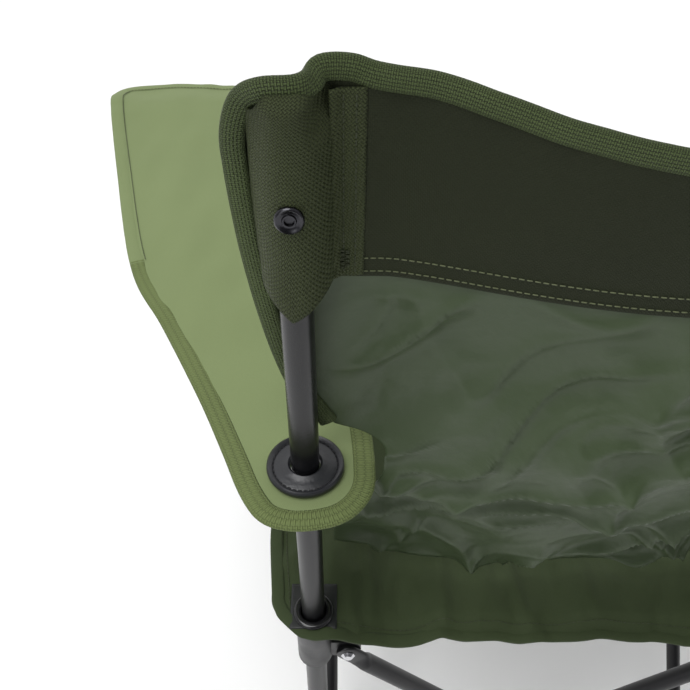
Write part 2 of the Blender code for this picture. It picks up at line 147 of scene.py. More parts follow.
def tape(name, rail, normalAt, width, height, columns, material, body, slots=10, wobble=0.0):
    # a soft flat tube of the given width and height along a rail: a folded binding, a hem or a cord of thread
    def place(u, v):
        share = (u + 1) / 2
        centre = rail.at(share)
        along = rail.heading(share)
        up = normalAt(share)
        side = along.cross(up).normalized()
        up = side.cross(along).normalized()
        turn = v * math.pi
        reach, rise = math.cos(turn), math.sin(turn)
        wide = math.copysign(abs(reach) ** 0.55, reach) * width / 2
        tall = math.copysign(abs(rise) ** 0.8, rise) * height / 2
        shift = wobble * noise.noise(centre * 60.0)
        return centre + side * wide + up * (tall + shift)

    return formed(name, columns, slots, place, (rail.length, 2 * (width + height)), material, body, weld=True)


def spun(name, profile, centre, axis, material, body, steps=64):
    # profile is a closed ring of (radius, rise) points, turned round the axis through the centre
    bm = bmesh.new()
    axis = Vector(axis).normalized()
    side = axis.orthogonal().normalized()
    corners = [bm.verts.new(Vector(centre) + side * r + axis * h) for r, h in profile]
    edges = [bm.edges.new((a, b)) for a, b in zip(corners, corners[1:] + corners[:1])]
    bmesh.ops.spin(
        bm, geom=corners + edges, cent=centre, axis=axis, angle=2 * math.pi, steps=steps, use_merge=True
    )
    bmesh.ops.remove_doubles(bm, verts=bm.verts[:], dist=1e-6)
    bmesh.ops.recalc_face_normals(bm, faces=bm.faces[:])
    return finished(name, bm, material, body, sharp=50)


# materials


def shaderOf(name, colour, roughness, metallic=0.0, **more):
    material = bpy.data.materials.new(name)
    material.use_nodes = True
    shader = material.node_tree.nodes["Principled BSDF"]
    shader.inputs["Base Color"].default_value = (*colour, 1.0)
    shader.inputs["Roughness"].default_value = roughness
    shader.inputs["Metallic"].default_value = metallic
    for socket, value in more.items():
        shader.inputs[socket.replace("_", " ")].default_value = value
    return material, shader, material.node_tree


def mathNode(tree, operation, first, second=None):
    node = tree.nodes.new("ShaderNodeMath")
    node.operation = operation
    for slot, value in enumerate((first, second)):
        if value is None:
            continue
        if isinstance(value, (int, float)):
            node.inputs[slot].default_value = value
        else:
            tree.links.new(value, node.inputs[slot])
    return node.outputs[0]


def noiseNode(tree, source, scale, detail=3.0, stretch=None):
    if stretch:
        mapping = tree.nodes.new("ShaderNodeMapping")
        mapping.inputs["Scale"].default_value = stretch
        tree.links.new(source, mapping.inputs["Vector"])
        source = mapping.outputs[0]
    node = tree.nodes.new("ShaderNodeTexNoise")
    node.inputs["Scale"].default_value = scale
    node.inputs["Detail"].default_value = detail
    tree.links.new(source, node.inputs["Vector"])
    return node.outputs["Fac"]


def rampNode(tree, source, stops):
    node = tree.nodes.new("ShaderNodeValToRGB")
    ramp = node.color_ramp
    while len(ramp.elements) < len(stops):
        ramp.elements.new(0.5)
    for element, (place, colour) in zip(ramp.elements, stops):
        element.position = place
        element.color = (*colour, 1.0)
    tree.links.new(source, node.inputs["Fac"])
    return node.outputs["Color"]


def roughNode(tree, shader, source, look, stops):
    # the look's roughness, times a factor at each stop
    shades = [(place, (look["roughness"] * factor,) * 3) for place, factor in stops]
    tree.links.new(rampNode(tree, source, shades), shader.inputs["Roughness"])


def bumpNode(tree, shader, height, strength, distance, under=None):
    node = tree.nodes.new("ShaderNodeBump")
    node.inputs["Strength"].default_value = strength
    node.inputs["Distance"].default_value = distance
    tree.links.new(height, node.inputs["Height"])
    if under:
        tree.links.new(under, node.inputs["Normal"])
    tree.links.new(node.outputs[0], shader.inputs["Normal"])
    return node.outputs[0]


def woven(name, look):
    # a plain or basket weave on the piece's UV map, whose unit is a metre of cloth; its relief is also
    # painted into the colour as shade in the gaps and highlight on the threads
    material, shader, tree = shaderOf(
        name, look["colour"], look["roughness"], Sheen_Weight=look["sheen"], Sheen_Roughness=0.5
    )
    shader.inputs["Specular IOR Level"].default_value = look.get("gloss", 0.2)
    coordinates = tree.nodes.new("ShaderNodeTexCoord")
    turned = tree.nodes.new("ShaderNodeMapping")
    turned.inputs["Rotation"].default_value[2] = math.radians(look.get("turn", 0.0))
    tree.links.new(coordinates.outputs["UV"], turned.inputs["Vector"])
    parts = tree.nodes.new("ShaderNodeSeparateXYZ")
    tree.links.new(turned.outputs[0], parts.inputs[0])
    rate = math.pi / look["thread"]
    stretch = look.get("stretch", 1.0)
    warp = mathNode(tree, "SINE", mathNode(tree, "MULTIPLY", parts.outputs[0], rate))
    weft = mathNode(tree, "SINE", mathNode(tree, "MULTIPLY", parts.outputs[1], rate * stretch))
    warpHigh = mathNode(tree, "ABSOLUTE", warp)
    weftHigh = mathNode(tree, "ABSOLUTE", weft)
    over = mathNode(tree, "GREATER_THAN", mathNode(tree, "MULTIPLY", warp, weft), 0.0)
    under = mathNode(tree, "SUBTRACT", 1.0, over)
    height = mathNode(
        tree,
        "ADD",
        mathNode(tree, "MULTIPLY", over, warpHigh),
        mathNode(tree, "MULTIPLY", under, mathNode(tree, "MULTIPLY", weftHigh, 0.8)),
    )
    patches = noiseNode(tree, coordinates.outputs["Object"], look.get("patchScale", 9.0), 4.0)
    fuzz = noiseNode(tree, coordinates.outputs["UV"], 900.0, 2.0)
    # the thread height sets the colour too: painted shade in the gaps between threads and painted highlight
    # on the raised threads
    weave = mathNode(tree, "MULTIPLY", height, look["threadShade"])
    # the patches and fuzz are the cloth's own uneven tone, added on top of the painted shade and highlight
    shadeAndTone = mathNode(tree, "ADD", weave, mathNode(tree, "MULTIPLY", patches, 0.5))
    shadeAndTone = mathNode(tree, "ADD", shadeAndTone, mathNode(tree, "MULTIPLY", fuzz, 0.25))
    # dark and light: the colour at the painted shade of the gaps and the painted highlight of the threads,
    # and at the ends of the uneven tone
    dark = tuple(c * look["dark"] for c in look["colour"])
    light = tuple(c * look["light"] for c in look["colour"])
    colour = rampNode(tree, shadeAndTone, [(0.12, dark), (0.55, look["colour"]), (1.0, light)])
    tree.links.new(colour, shader.inputs["Base Color"])
    creases = noiseNode(tree, coordinates.outputs["Object"], 38.0, 5.0, look.get("creaseStretch", (1, 1, 1)))
    under = bumpNode(tree, shader, creases, look.get("crease", 0.25), 0.004)
    bumpNode(tree, shader, height, look["relief"], look["thread"] * 0.5, under)
    return material


def powderCoat(name, look):
    material, shader, tree = shaderOf(name, look["colour"], look["roughness"], Coat_Weight=look["coat"])
    shader.inputs["Coat Roughness"].default_value = 0.12
    coordinates = tree.nodes.new("ShaderNodeTexCoord")
    peel = noiseNode(tree, coordinates.outputs["Object"], 900.0, 2.0)
    scuffs = noiseNode(tree, coordinates.outputs["Object"], 45.0, 6.0, (1, 1, 0.12))
    roughNode(tree, shader, scuffs, look, [(0.35, 1.0), (0.75, 1.5)])
    bumpNode(tree, shader, peel, 0.12, 0.0004)
    return material


def moulded(name, look):
    material, shader, tree = shaderOf(name, look["colour"], look["roughness"])
    shader.inputs["Specular IOR Level"].default_value = 0.5
    coordinates = tree.nodes.new("ShaderNodeTexCoord")
    grain = noiseNode(tree, coordinates.outputs["Object"], look["grain"], 3.0)
    wear = noiseNode(tree, coordinates.outputs["Object"], 60.0, 5.0)
    roughNode(tree, shader, wear, look, [(0.3, 0.8), (0.8, 1.3)])
    bumpNode(tree, shader, grain, look["relief"], 0.0006)
    return material


def plated(name, look):
    material, shader, tree = shaderOf(name, look["colour"], look["roughness"], 1.0)
    coordinates = tree.nodes.new("ShaderNodeTexCoord")
    marks = noiseNode(tree, coordinates.outputs["Object"], 300.0, 6.0)
    roughNode(tree, shader, marks, look, [(0.3, 0.7), (0.8, 1.6)])
    return material


# per cloth, the weave's strength, dark and light set how much painted shade and painted highlight the threads
# put in the colour
looks = {
    # the armrest cloth: lighter than the other olive cloths, painted light from above and through the thin
    # cloth
    "armOxfordPaintedLight": dict(
        colour=(0.20, 0.25, 0.112), roughness=0.8, sheen=0.03, thread=0.0007, threadShade=0.35,
        dark=0.8, light=1.12, relief=0.25, crease=0.12, patchScale=6.0,
    ),
    # the armrest binding: lighter too, painted light from above
    "armBindingPaintedLight": dict(
        colour=(0.13, 0.165, 0.06), roughness=0.75, sheen=0.02, thread=0.0012, threadShade=0.55,
        dark=0.3, light=1.35, relief=0.8, crease=0.1, stretch=0.42,
    ),
    "oliveOxford": dict(
        colour=(0.0165, 0.0205, 0.0085), roughness=0.72, sheen=0.02, thread=0.0009, threadShade=0.5,
        dark=0.5, light=1.5, relief=0.5, crease=0.2,
    ),
    "flapOxford": dict(
        colour=(0.027, 0.034, 0.013), roughness=0.65, sheen=0.02, thread=0.0012, threadShade=0.8,
        dark=0.25, light=2.0, relief=1.0, crease=0.15, turn=38.0,
    ),
    "oliveBinding": dict(
        colour=(0.022, 0.030, 0.011), roughness=0.62, sheen=0.03, thread=0.0010, threadShade=0.75,
        dark=0.12, light=4.2, relief=1.0, crease=0.1,
    ),
    "thinNylon": dict(
        colour=(0.050, 0.074, 0.032), roughness=0.46, sheen=0.01, thread=0.00035, threadShade=0.12,
        dark=0.85, light=1.15, relief=0.05, crease=0.5, gloss=0.4,
    ),
    "seatOxford": dict(
        colour=(0.040, 0.056, 0.023), roughness=0.75, sheen=0.03, thread=0.0006, threadShade=0.35,
        dark=0.6, light=1.5, relief=0.3, crease=0.45,
    ),
}
steels = {
    "postCoat": dict(colour=(0.006, 0.006, 0.007), roughness=0.26, coat=0.0),
    "braceCoat": dict(colour=(0.006, 0.006, 0.007), roughness=0.32, coat=0.0),
}
plastics = {
    "footPlastic": dict(colour=(0.016, 0.016, 0.017), roughness=0.5, grain=1200.0, relief=0.25),
    "sliderPlastic": dict(colour=(0.018, 0.018, 0.019), roughness=0.42, grain=900.0, relief=0.15),
    "eyeletVinyl": dict(colour=(0.02, 0.021, 0.024), roughness=0.38, grain=420.0, relief=0.35),
    "patchVinyl": dict(colour=(0.011, 0.012, 0.013), roughness=0.45, grain=380.0, relief=0.4),
    "glossRing": dict(colour=(0.012, 0.012, 0.013), roughness=0.16, grain=200.0, relief=0.05),
}
cloths = {name: woven(name, look) for name, look in looks.items()}
finishes = {name: powderCoat(name, look) for name, look in steels.items()}
finishes.update({name: moulded(name, look) for name, look in plastics.items()})
finishes["rivetPlate"] = plated("rivetPlate", dict(colour=(0.62, 0.62, 0.64), roughness=0.24))
finishes["screwBlack"] = plated("screwBlack", dict(colour=(0.05, 0.05, 0.055), roughness=0.28))
threads = {
    "thread": dict(colour=(0.04, 0.05, 0.022), roughness=0.7),
    "paleThread": dict(colour=(0.13, 0.15, 0.075), roughness=0.7),
    "blackThread": dict(colour=(0.006, 0.006, 0.008), roughness=0.6),
}
finishes.update({name: moulded(name, dict(look, grain=2500.0, relief=0.6)) for name, look in threads.items()})
print("materials made")

nodeFinish = {"post_": "postCoat", "arm_post_": "postCoat", "brace_": "braceCoat", "rivet_": "rivetPlate",
              "foot_": "footPlastic", "slider_": "sliderPlastic", "hub_": "sliderPlastic"}
for nodeName, node in nodes.items():
    for start, finishName in nodeFinish.items():
        if nodeName.startswith(start):
            if not node.material_slots:
                node.data.materials.append(finishes[finishName])
            for place in node.material_slots:
                place.material = finishes[finishName]
print("finishes on the frame")


# tubes: round ones for the posts, with pressed ends on the braces and arm posts

tubes = {
    "tongue": 0.0105,  # length of the pressed flat end past its rivet, then of the neck
    "neck": 0.009,
    "thick": 0.0023,  # half the thickness and half the width of the flat end
    "wide": 0.0085,
    "wall": 0.001,
    "brace": 0.00675,  # radius
    "sleeve": 0.01265,  # radius and bore of the slider's sleeve
    "sleeveBore": 0.0084,
    "armLean": 28.5,  # of an arm post outwards, in degrees
}


def pressedTube(name, start, end, radius, normal, flatEnd, finishName, body, node):
    start, end = Vector(start), Vector(end)
    along = (end - start).normalized()
    normal = Vector(normal).normalized()
    across = normal.cross(along).normalized()
    length = (end - start).length

    def section(s):
        thick, wide = tubes["thick"], tubes["wide"]
        if s < 0:
            return thick, math.sqrt(max(0.0, wide**2 - s * s))
        share = ease((s - tubes["tongue"]) / tubes["neck"])
        return thick + (radius - thick) * share, wide + (radius - wide) * share

    near = [-0.0085, -0.0083, -0.0076, -0.0062, -0.0042, -0.002, 0.0, 0.0055]
    near += [tubes["tongue"] + tubes["neck"] * k / 8 for k in range(9)]
    stations = [(s, *section(s)) for s in near] + [(length / 2, radius, radius)]
    if flatEnd:
        stations += [(length - s, thick, wide) for s, thick, wide in stations[-2::-1]]
    else:
        lip = radius - 0.0004
        stations += [(length - 0.0004, radius, radius), (length, lip, lip), (length, 0.0, 0.0)]

    def place(u, v):
        s, thick, wide = stations[round((u + 1) / 2 * (len(stations) - 1))]
        turn = v * math.pi
        flat = 1 - (thick / radius)
        reach, rise = math.sin(turn), math.cos(turn)
        reach = math.copysign(abs(reach) ** (1 - 0.35 * flat), reach) * wide
        rise = math.copysign(abs(rise) ** (1 - 0.55 * flat), rise) * thick
        return start + along * s + across * reach + normal * rise

    cut = (length, 2 * math.pi * radius)
    made = formed(name, len(stations) - 1, 32, place, cut, finishes[finishName], body, weld=True)
    made.data.set_sharp_from_angle(angle=math.radians(55))
    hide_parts(node)


def middleOf(node):
    low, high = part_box(node)
    return (low + high) / 2


def makeTubes():
    for sideName, side in (("left", 1), ("right", -1)):
        low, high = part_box(f"post_rear_{sideName}")
        inner = postRadius - tubes["wall"]
        profile = [(postRadius, low.z), (postRadius, high.z), (inner, high.z), (inner, low.z)]
        made = spun(f"rearPost{sideName.capitalize()}", profile, Vector((side * postX, postY, 0)), (0, 0, 1),
                    finishes["postCoat"], f"rear_{sideName}_leg", 64)
        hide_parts(f"post_rear_{sideName}")
        low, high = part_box(f"arm_post_{sideName}")
        foot = middleOf(f"rivet_arm_{sideName}")
        foot.x, foot.y = side * postX, (low.y + high.y) / 2
        lean = math.radians(tubes["armLean"])
        away = Vector((side * math.sin(lean), 0, math.cos(lean)))
        reach = (high.z - foot.z - postRadius * math.sin(lean)) / math.cos(lean)
        top = foot + away * reach
        pressedTube(f"armPost{sideName.capitalize()}", foot, top, postRadius, (0, 1, 0), False,
                    "postCoat", f"{sideName}_arm_post", f"arm_post_{sideName}")
    for sideName in ("rear", "front", "left", "right"):
        for layer in ("inner", "outer"):
            plane = middleOf(f"brace_{sideName}_{layer}")
            ends = [middleOf(f"rivet_{sideName}_{layer}_{end}") for end in ("foot", "top")]
            normal = (0, 1, 0) if sideName in ("rear", "front") else (1, 0, 0)
            for end in ends:
                if normal[1]:
                    end.y = plane.y
                else:
                    end.x = plane.x
            label = f"brace{sideName.capitalize()}{layer.capitalize()}"
            pressedTube(label, ends[0], ends[1], tubes["brace"], normal, True,
                        "braceCoat", f"{sideName}_{layer}_brace", f"brace_{sideName}_{layer}")
    for sideName, side in (("left", 1), ("right", -1)):
        low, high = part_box(f"slider_rear_{sideName}")
        bore, wide = tubes["sleeveBore"], tubes["sleeve"]
        rim = wide + 0.0012
        profile = [
            (bore, low.z - 0.0004), (0.0112, low.z - 0.0004), (wide, low.z + 0.0014), (wide, high.z - 0.0055),
            (rim, high.z - 0.0045), (rim, high.z - 0.0014), (wide, high.z), (bore, high.z),
        ]
        made = spun(
            f"sliderSleeve{sideName.capitalize()}", profile, Vector((side * postX, postY, 0)), (0, 0, 1),
            finishes["sliderPlastic"], f"rear_{sideName}_slider", 64,
        )


makeTubes()
print("tubes made")


# the back: a heavy upper panel, a thin lower one, its binding and two pockets

back = {
    "plane": postY - postRadius - 0.0022,  # middle of the cloth where it passes in front of a post
    "bulge": 0.030,
    "bulgeHalf": 0.150,
    "top": 0.8035,
    "topSag": 0.024,
    "seam": 0.716,
    "bottom": 0.447,
    "bottomForward": 0.034,
    "thick": 0.0016,
    "lowerThick": 0.0008,
    "crumple": 0.0125,
    "bindingWidth": 0.0105,
    "bindingHeight": 0.0045,
}
# outwards of a post's axis and height: one edge of the back from under the armrest to the top, then the notch
backEdge = [
    (-0.013, 0.612), (-0.002, 0.632), (0.0065, 0.652), (0.0145, 0.690), (0.0195, 0.725), (0.0222, 0.765),
    (0.0215, 0.781), (0.0165, 0.7915), (0.008, 0.7935), (-0.004, 0.7935), (-0.0095, 0.7955),
    (-0.0135, 0.8005), (-0.024, 0.8025),
]

# by point of backEdge, how far the binding stands back and up to close the pocket over the post
pocketTop = {5: (0.001, 0.0), 6: (0.003, 0.001), 7: (0.006, 0.004), 8: (0.0125, 0.0085), 9: (0.0125, 0.0095),
             10: (0.007, 0.008), 11: (0.002, 0.0055), 12: (0.0, 0.003)}


def backDepth(x, z):
    middle = max(0.0, 1 - (x / back["bulgeHalf"]) ** 2) ** 1.4
    low = ease((0.60 - z) / 0.16)
    return back["plane"] + back["bulge"] * middle * (1 - 0.5 * low) - back["bottomForward"] * low


def backTopAt(x):
    inside = max(0.0, 1 - (x / back["bulgeHalf"]) ** 2)
    return back["top"] + 0.003 - back["topSag"] * inside**1.5


def edgeOut(z):
    # how far the panel's edge stands outwards of the post's axis
    if z <= backEdge[0][1]:
        waist = ease((backEdge[0][1] - z) / 0.018) * (1 - ease((0.576 - z) / 0.030))
        return -0.013 - 0.030 * waist
    for (outA, zA), (outB, zB) in zip(backEdge[:7], backEdge[1:7]):
        if z <= zB:
            return outA + (outB - outA) * (z - zA) / (zB - zA)
    return backEdge[6][0]


# of the lower panel's folds: degrees from level, noise along and across them, and share of the relief
foldFamilies = ((-34, 4.5, 17, 1.0), (22, 6.0, 21, 0.7), (-62, 9.0, 34, 0.42))


def crumple(x, z, size):
    # long slanting folds that branch, as thin coated cloth holds
    total = 0.0
    for count, (angle, along, across, share) in enumerate(foldFamilies):
        turn = math.radians(angle)
        p = x * math.cos(turn) + z * math.sin(turn)
        q = -x * math.sin(turn) + z * math.cos(turn)
        warp = noise.noise(Vector((x * 11, z * 11, 3.1 + count))) * 0.05
        ridge = 1 - min(1.0, abs(noise.noise(Vector((p * along, (q + warp) * across, count * 4.7)))) * 2.6)
        total += share * ridge**2.2
    fine = noise.ridged_multi_fractal(Vector((x * 38 + z * 20, z * 34, 0.3)), 0.9, 2.1, 3, 1.0, 2.0) - 1.2
    broad = noise.noise(Vector((x * 6.0, z * 5.0, 1.9)))
    return size * (total - 0.5 + 0.10 * fine + 0.8 * broad)


def makeBack():
    half = postX

    def upperPlace(u, v):
        seam = back["seam"] - 0.006
        share = (v + 1) / 2
        x = u * (half + edgeOut(seam + share * (0.785 - seam)))
        top = backTopAt(x) - 0.0045
        outer = abs(x) - half
        if outer > -0.012:  # the step down to the pocket's top
            top = 0.7955 - 0.002 - 0.012 * ease((outer - 0.012) / 0.014)
        z = seam + share * (top - seam)
        x = u * (half + edgeOut(min(z, 0.782)))
        ripple = 0.0016 * noise.noise(Vector((x * 14, z * 10, 0.0)))
        ripple *= ease((0.178 - abs(x)) / 0.04) * ease((z - back["seam"] - 0.006) / 0.02)
        return Vector((x, backDepth(x, z) + ripple, z))

    def lowerPlace(u, v):
        share = (v + 1) / 2
        z = back["bottom"] + share * (back["seam"] + 0.004 - back["bottom"])
        x = u * (half + edgeOut(z) - 0.001)
        edge = ease((half - 0.012 - abs(x)) / 0.03) * ease((back["seam"] - z) / 0.03)
        drop = -0.010 * (1 - share) ** 3 * (0.5 + noise.noise(Vector((x * 13, 0.0, 5.0))))
        z += drop
        relief = crumple(x, z, back["crumple"]) * (0.62 + 0.38 * ease((0.69 - z) / 0.12))
        return Vector((x, backDepth(x, z) - 0.0012 + edge * relief, z))

    body = "rear_left_leg"
    oxford, nylon = cloths["oliveOxford"], cloths["thinNylon"]
    upper = formed("backUpper", 120, 40, upperPlace, (0.43, 0.085), oxford, body, back["thick"])
    lower = formed("backLower", 200, 150, lowerPlace, (0.38, 0.27), nylon, body, back["lowerThick"])
    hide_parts("back_cloth")
    pieces = [upper, lower]

    path = []
    for side in (1, -1):
        points = []
        for count, (out, z) in enumerate(backEdge):
            x = side * (half + out)
            proud, rise = pocketTop.get(count, (0.0, 0.0))
            points.append(Vector((x, backDepth(x, z) + proud, z + rise)))
        path.append(points)
    middle = []
    for k in range(-7, 8):
        x = -k / 7 * (half - 0.034)
        z = backTopAt(x) - 0.0045 + 0.0012 * noise.noise(Vector((x * 30, 2.0, 0.0)))
        middle.append(Vector((x, backDepth(x, z), z)))
    rail = Rail(path[0] + middle + path[1][::-1])
    inward = Vector((0, 1, 0))
    binding = tape("backBinding", rail, lambda s: inward, back["bindingWidth"], back["bindingHeight"], 520,
                   cloths["oliveBinding"], body, 12, wobble=0.0008)
    pieces.append(binding)

    for row, drop in (("High", 0.004), ("Low", -0.003)):
        seamRail = Rail([
            Vector((x, backDepth(x, back["seam"] + drop) + back["thick"] / 2 + 0.0003, back["seam"] + drop))
            for x in [(-1 + 2 * k / 24) * (half - 0.012) for k in range(25)]
        ])
        pieces.append(stitches(f"backSeam{row}", seamRail, body, "paleThread"))
    for piece in pieces:
        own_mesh(piece)


def stitches(name, rail, body, threadName, pitch=0.0034, share=0.72, width=0.0007):
    # one short thread per stitch, each a small box bent on its rail
    count = int(rail.length / pitch)
    bm = bmesh.new()
    for k in range(count):
        spot = (k + 0.5) / count
        centre, along = rail.at(spot), rail.heading(spot)
        facing = along.to_track_quat("X", "Z").to_matrix().to_4x4()
        size = Matrix.Diagonal((pitch * share, width, width * 0.8, 1.0))
        bmesh.ops.create_cube(bm, size=1.0, matrix=Matrix.Translation(centre) @ facing @ size)
    bmesh.ops.bevel(
        bm, geom=bm.edges[:], offset=width * 0.28, affect="EDGES", segments=1, profile=0.5, material=-1,
    )
    return finished(name, bm, finishes[threadName], body)


pocket = {
    "inner": -0.0285,  # its edges, outwards of the post's axis
    "outer": 0.0165,
    "top": 0.8026,
    "low": 0.7135,
    "tip": 0.0135,  # how much lower the middle of its lower edge is
    "cover": 0.0030,  # over the post
    "thick": 0.0014,
    "humpEnd": -0.0175,
    "strip": (-0.0300, -0.0158),
    "folded": 0.74,  # of its height
}


def makePocket(side, body):
    sideName = "Left" if side > 0 else "Right"

    def surface(out, z):
        # hump over the post, tight at its edges
        reach = postRadius + pocket["cover"]
        if out > 0:
            share = out / pocket["outer"]
        else:
            share = min(1.0, out / pocket["humpEnd"])
        hump = max(0.0, 1 - share**2) ** 0.62
        over = min(max((z - pocket["top"] + 0.008) / 0.008, 0.0), 1.0)
        closing = math.sqrt(1 - over**2.4)
        base = postRadius + 0.0045
        y = -base + 0.0008 + (base + reach) * hump * (0.32 + 0.68 * closing)
        tuck = math.exp(-(((out + 0.0125) / 0.0045) ** 2)) * ease((z - 0.778) / 0.018)
        return y - 0.010 * tuck

    def place(u, v):
        out = pocket["inner"] + (pocket["outer"] + 0.001 - pocket["inner"]) * (u + 1) / 2
        middle = 1 - abs((out - 0.001) / (0.016 if out > 0.001 else 0.0185))
        low = pocket["low"] - pocket["tip"] * max(0.0, middle) ** 0.9
        outer = pocket["outer"] - 0.004 * ease((0.76 - (low + (v + 1) / 2 * (pocket["top"] - low))) / 0.05)
        if out > 0:
            out *= outer / pocket["outer"]
        top = pocket["top"] - 0.010 * ease((out - 0.004) / 0.012) - 0.004 * ease((-out - 0.010) / 0.008)
        z = low + (1 - (1 - (v + 1) / 2) ** 1.5) * (top - low)
        dent = 0.0008 * noise.noise(Vector((out * 90, z * 40, 2.0)))
        return Vector((side * (postX + out), postY + surface(out, z) + dent, z))

    cloth = cloths["flapOxford"]
    flap = formed(f"pocketFlap{sideName}", 44, 60, place, (0.056, 0.098), cloth, body, pocket["thick"])
    low, high = pocket["strip"]

    def stripPlace(u, v):
        out = low + (high - low) * (u + 1) / 2
        z = 0.7115 + (v + 1) / 2 * (0.7985 - 0.7115)
        crown = 0.0010 * (1 - u**4) + 0.0006 * noise.noise(Vector((out * 60, z * 30, 9.0)))
        lift = 0.0022 + crown + 0.0035 * ease((u - 0.3) / 0.7)
        return Vector((side * (postX + out), postY - postRadius - 0.0037 + lift, z))

    strip = formed(f"pocketStrip{sideName}", 14, 60, stripPlace, (0.0144, 0.09), cloth, body, 0.0016)
    pieces = [flap, strip]
    for row, out in (("Inner", -0.0262), ("Outer", -0.0212)):
        line = []
        for k in range(12):
            z = 0.7135 + k / 11 * 0.083
            spot = stripPlace((out - low) / (high - low) * 2 - 1, (z - 0.7115) / 0.087 * 2 - 1)
            line.append(spot + Vector((0, 0.0009, 0)))
        pieces.append(stitches(f"pocketSeam{row}{sideName}", Rail(line), body, "thread", 0.0030))
    tack = []
    for k in range(9):
        z = 0.7165 + k * 0.00115
        spot = stripPlace(-0.15 if k % 2 else 0.45, (z - 0.7115) / 0.087 * 2 - 1)
        tack.append(spot + Vector((0, 0.0012, 0)))
    pieces.append(stitches(f"pocketTack{sideName}", Rail(tack), body, "thread", 0.0022, 0.9, 0.0009))
    for piece in pieces:
        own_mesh(piece)

    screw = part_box(f"pocket_screw_{sideName.lower()}")
    centre = (screw[0] + screw[1]) / 2
    centre.y = postY + postRadius + pocket["cover"] + 0.0010
    profile = [
        (0.0, -0.001), (0.0058, -0.001), (0.0062, 0.0009), (0.0060, 0.0020), (0.0053, 0.0025),
        (0.0045, 0.0021), (0.0037, 0.0014), (0.0031, 0.0014), (0.0027, 0.0021), (0.0022, 0.0021),
        (0.0019, 0.0009), (0.0, 0.0009),
    ]
    made = spun(f"pocketScrew{sideName}", profile, centre, (0, 1, 0), finishes["screwBlack"], body, 48)
    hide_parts(f"pocket_screw_{sideName.lower()}")


makeBack()
makePocket(1, "rear_left_leg")
makePocket(-1, "rear_right_leg")
print("back made")


# the armrests: a sheet with a folded hem and a ribbed binding round its rear end, their colour lightened with
# painted light from above and through the cloth, and a vinyl eyelet

arm = {
    "rear": 0.5835,  # height of the cloth's middle layer at the rear post
    "front": 0.6022,
    "thick": 0.0016,
    "tapeWidth": 0.0125,
    "tapeHeight": 0.0040,
    "splay": 0.2675,  # outwards per metre forwards, of the straight pull from eyelet to arm post
    "folded": 0.27,  # of its length
}
# outwards and forwards of the rear post's axis
armRearEdge = [
    (-0.0375, 0.004), (-0.0355, -0.017), (-0.022, -0.033), (0.001, -0.0385), (0.021, -0.034),
    (0.0335, -0.018),
]
armOuterEdge = [
    (0.0335, -0.018), (0.047, 0.012), (0.064, 0.049), (0.0965, 0.113), (0.134, 0.185), (0.171, 0.314),
    (0.1955, 0.410), (0.200, 0.440),
]
armFrontEdge = [
    (0.200, 0.440), (0.192, 0.462), (0.160, 0.4695), (0.110, 0.4695), (0.078, 0.464), (0.062, 0.448),
]
armInnerEdge = [
    (-0.0375, 0.004), (-0.034, 0.040), (-0.020, 0.110), (0.004, 0.190), (0.030, 0.290), (0.050, 0.380),
    (0.062, 0.448),
]
armSlope = (arm["front"] - arm["rear"]) / 0.399


def armHeight(out, forward):
    # taut between the eyelet and the front post, with the free edges hanging a little
    line = forward * arm["splay"]
    away = (out - line) / 0.09
    along = min(max(forward / 0.40, 0.0), 1.0)
    dip = 0.011 * min(away * away, 1.6) * math.sin(math.pi * along) ** 0.8
    nose = 0.010 * ease((forward - 0.415) / 0.055)
    fold = 0.0036 * noise.noise(Vector((out * 15 - forward * 5, forward * 5.0, 4.0))) * ease(forward / 0.10)
    fold += 0.0012 * noise.noise(Vector((out * 48, forward * 26, 1.0))) * ease(forward / 0.06)
    return arm["rear"] + armSlope * forward - dip - nose + fold


